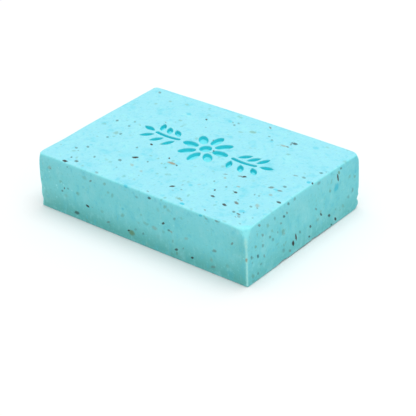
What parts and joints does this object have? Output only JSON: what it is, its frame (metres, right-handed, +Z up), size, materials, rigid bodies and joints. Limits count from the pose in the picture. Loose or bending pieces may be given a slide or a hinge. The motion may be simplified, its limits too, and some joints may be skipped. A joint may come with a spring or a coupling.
{
  "type": "bar of soap",
  "caption": "Rectangular bar of cast soap with softened edges and a pressed flower ornament in its top.",
  "frame": {"origin": "middle of the flat bottom face", "axes": "+X along the bar, +Y across it, +Z up, out of the face with the pressed ornament"},
  "size_m": [0.086, 0.06, 0.02],
  "materials": {
    "soap": "satin and waxy, turquoise with brown, tan and blue herb flecks"
  },
  "bodies": {
    "root": {"soap_bar": "soap"}
  },
  "joints": []
}
